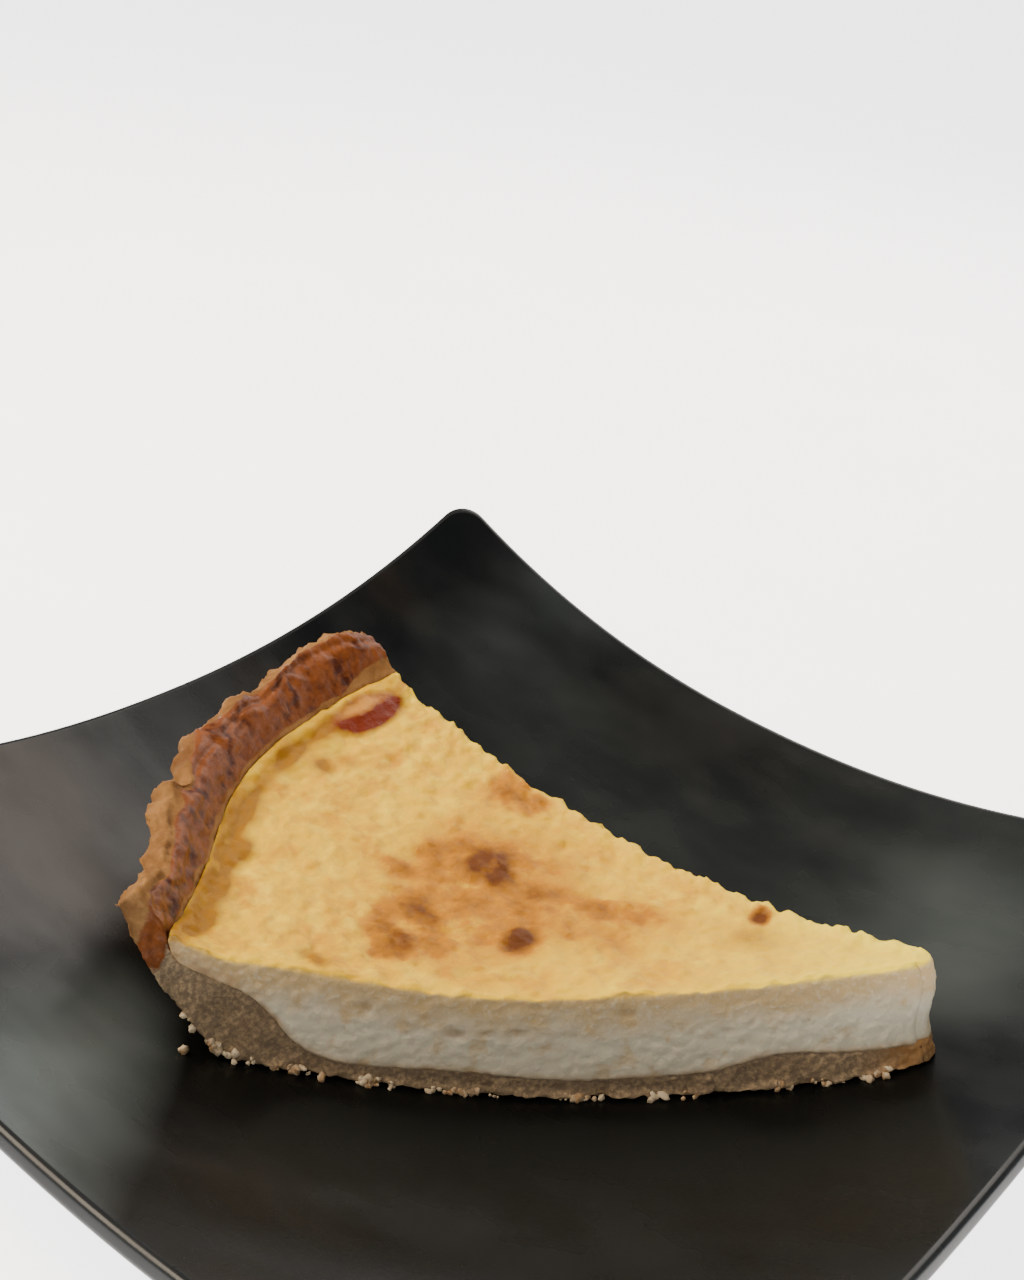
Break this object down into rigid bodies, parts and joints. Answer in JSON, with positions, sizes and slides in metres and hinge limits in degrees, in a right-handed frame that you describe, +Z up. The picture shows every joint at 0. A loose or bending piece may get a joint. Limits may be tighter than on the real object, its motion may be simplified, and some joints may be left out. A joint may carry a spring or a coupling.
{
  "type": "cheesecake slice on plate",
  "caption": "Wedge of baked cheesecake tart with a browned top and pastry rim, lying on a square black dished plate with upswept corners.",
  "frame": {"origin": "middle of the plate's foot, on the surface that the plate stands on", "axes": "+Z up; X and Y along the plate's straight sides; the slice's tip points towards -Y and its rim towards +Y"},
  "size_m": [0.186, 0.186, 0.0445],
  "materials": {
    "black_glazed_stoneware": "satin black glaze with soft reflections",
    "baked_shortcrust": "dry crumbly baked pastry, dark and glossy on the rim's crest",
    "baked_cheese_custard": "moist set custard, pale at the cut, with a yellow skin browned in patches on top"
  },
  "bodies": {
    "root": {"plate": "black_glazed_stoneware", "pastry_crust": "baked_shortcrust", "cheese_filling": "baked_cheese_custard"}
  },
  "joints": []
}
